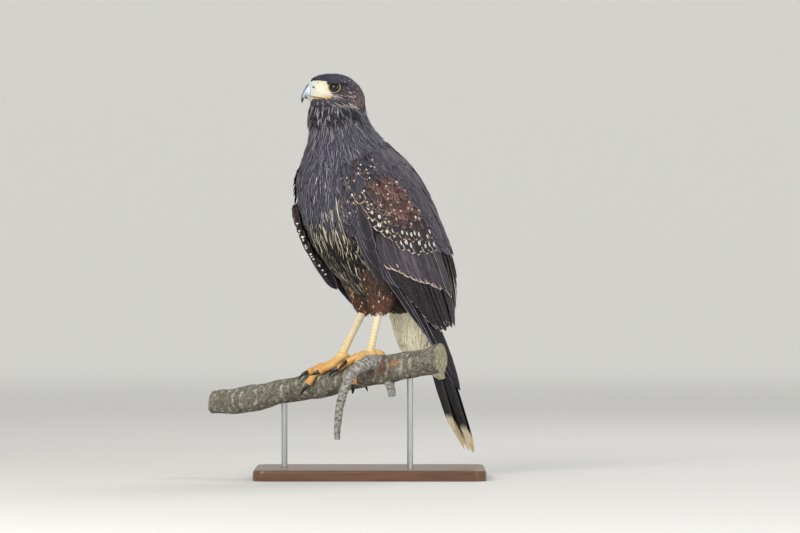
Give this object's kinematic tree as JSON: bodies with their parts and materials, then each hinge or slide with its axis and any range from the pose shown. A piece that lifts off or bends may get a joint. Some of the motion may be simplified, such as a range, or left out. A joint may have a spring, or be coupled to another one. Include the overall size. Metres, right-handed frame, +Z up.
{
  "type": "harris's hawk display model",
  "caption": "Life-size perched hawk with folded wings and a long tail, gripping a short cut length of branch held on a flat base by rods.",
  "frame": {"origin": "centre of the base's underside, on the floor", "axes": "+Z up; +X towards the viewer's right in the picture; -Y towards the viewer; the bird faces -X turned 35 degrees to the viewer"},
  "size_m": [0.363, 0.2025, 0.5239],
  "materials": {
    "plumage": "soft dark brown-black feathers, matt with a faint grey sheen",
    "trousers": "soft chestnut feathers, matt",
    "cream_coverts": "soft cream feathers with dark streaks, matt",
    "bare_skin": "pale yellow bare skin, satin",
    "bill_horn": "pale blue-grey horn with a black tip, glossy",
    "eye": "dark brown eye, wet gloss",
    "leg_scales": "yellow scaled skin, satin",
    "claw_horn": "black horn, glossy",
    "bark": "weathered grey-brown bark with lichen, rough",
    "stand_wood": "dark stained board, satin",
    "stand_steel": "brushed rod, satin"
  },
  "bodies": {
    "root": {"bill_lower": "bill_horn", "bill_upper": "bill_horn", "cere": "bare_skin", "claw_left_hind": "claw_horn", "claw_left_inner": "claw_horn", "claw_left_middle": "claw_horn", "claw_left_outer": "claw_horn", "claw_right_hind": "claw_horn", "claw_right_inner": "claw_horn", "claw_right_middle": "claw_horn", "claw_right_outer": "claw_horn", "eye_left": "eye", "eye_right": "eye", "foot_left": "leg_scales", "foot_right": "leg_scales", "head": "plumage", "neck": "plumage", "perch": "bark", "stand_base": "stand_wood", "stand_rod_left": "stand_steel", "stand_rod_right": "stand_steel", "tail": "plumage", "tarsus_left": "leg_scales", "tarsus_right": "leg_scales", "thigh_left": "trousers", "thigh_right": "trousers", "torso": "plumage", "undertail": "cream_coverts", "wing_left": "plumage", "wing_right": "plumage"}
  },
  "joints": []
}
